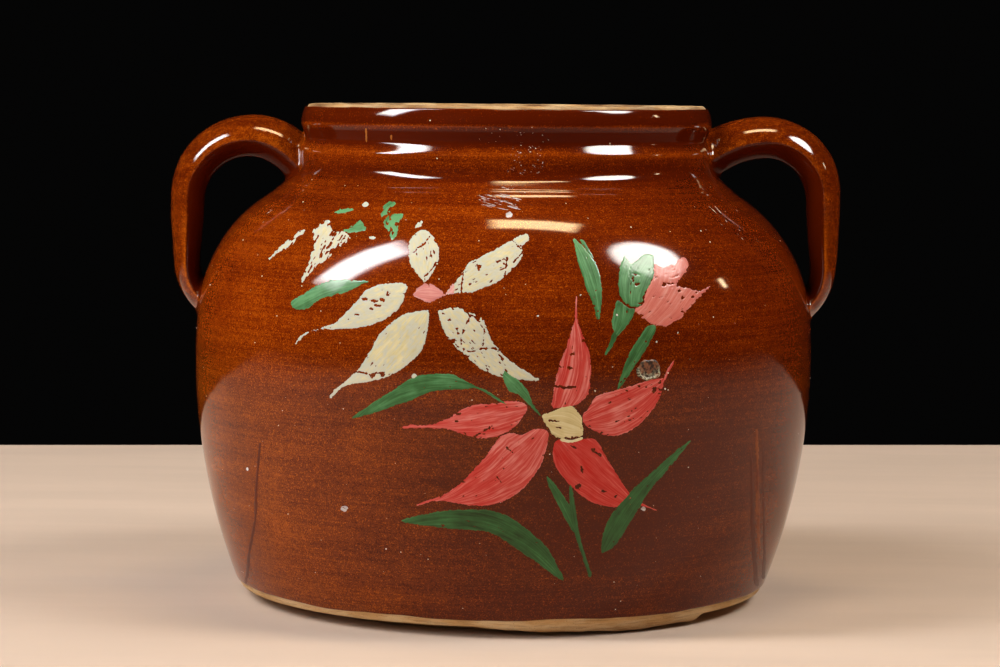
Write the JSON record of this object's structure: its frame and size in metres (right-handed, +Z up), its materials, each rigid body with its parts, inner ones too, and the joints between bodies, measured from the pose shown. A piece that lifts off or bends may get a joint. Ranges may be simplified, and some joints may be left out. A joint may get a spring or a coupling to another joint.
{
  "type": "two-handled stoneware cookie jar",
  "caption": "Squat round-bellied stoneware jar with an open collared mouth, arched side handles, a brown glaze outside and inside, and bare clay at the lip and foot.",
  "frame": {"origin": "centre of the foot ring on the table", "axes": "+Z up along the jar's axis, +X from the left handle to the right one as the painted front is seen, -Y out of the painted front"},
  "size_m": [0.2356, 0.216, 0.1722],
  "materials": {
    "bare_clay": "unglazed buff stoneware, fine sandy grain",
    "brown_glaze": "glossy red-brown glaze with fine throwing lines",
    "lining_glaze": "glossy brown glaze",
    "left_handle_glaze": "glossy red-brown glaze",
    "right_handle_glaze": "glossy red-brown glaze"
  },
  "bodies": {
    "root": {"jar_body": "bare_clay", "outer_glaze": "brown_glaze", "inner_glaze": "lining_glaze", "left_handle": "left_handle_glaze", "right_handle": "right_handle_glaze"}
  },
  "joints": []
}
